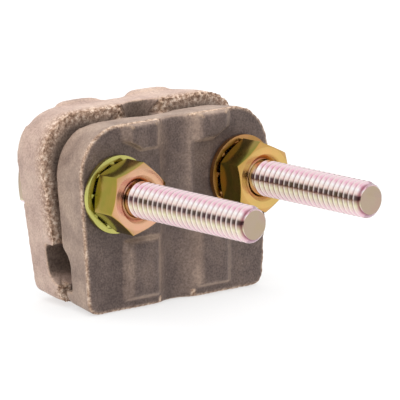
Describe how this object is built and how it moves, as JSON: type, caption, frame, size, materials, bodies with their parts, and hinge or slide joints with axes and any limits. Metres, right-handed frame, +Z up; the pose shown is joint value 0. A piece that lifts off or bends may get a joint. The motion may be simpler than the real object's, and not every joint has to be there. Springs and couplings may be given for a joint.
{
  "type": "earth rod clamp",
  "caption": "Cast bronze clamp whose two jaws are drawn together by long bolts to join an earthing conductor to a ground rod.",
  "frame": {"origin": "on the axis of the clamped rod, level with the jaws' feet", "axes": "+Z up along the rod, +X across from the left bolt to the right bolt, the bolts' free ends point along -Y"},
  "size_m": [0.0452, 0.0562, 0.0344],
  "materials": {
    "bronze_casting": "sand-cast bronze, dull and grainy, lightly oxidised",
    "zinc_plated_bolt": "zinc plated steel with an iridescent yellow passivate",
    "zinc_plated_nut": "zinc plated steel with an iridescent yellow passivate",
    "zinc_plated_washer": "zinc plated spring steel with an iridescent yellow passivate"
  },
  "bodies": {
    "back": {"back_jaw": "bronze_casting", "bolt_left": "zinc_plated_bolt", "bolt_right": "zinc_plated_bolt"},
    "front": {"front_jaw": "bronze_casting", "lock_washer_left": "zinc_plated_washer", "lock_washer_right": "zinc_plated_washer"},
    "left_nut": {"nut_left": "zinc_plated_nut"},
    "right_nut": {"nut_right": "zinc_plated_nut"}
  },
  "joints": [
    {"name": "front_jaw_slide", "type": "slide", "parent": "back", "child": "front", "axis": [0, -1, 0], "range_m": [-0.001, 0.022]},
    {"name": "nut_left_turn", "type": "hinge", "parent": "front", "child": "left_nut", "pos_m": [-0.0141, -0.01, 0.021], "axis": [0, -1, 0], "range_deg": [-284, 6237]},
    {"name": "nut_right_turn", "type": "hinge", "parent": "front", "child": "right_nut", "pos_m": [0.0141, -0.01, 0.021], "axis": [0, -1, 0], "range_deg": [-284, 6237]}
  ],
  "couplings": [
    {"joint": "nut_left_turn", "follows": "front_jaw_slide", "rad_per_m": 4947.4},
    {"joint": "nut_right_turn", "follows": "front_jaw_slide", "rad_per_m": 4947.4}
  ]
}
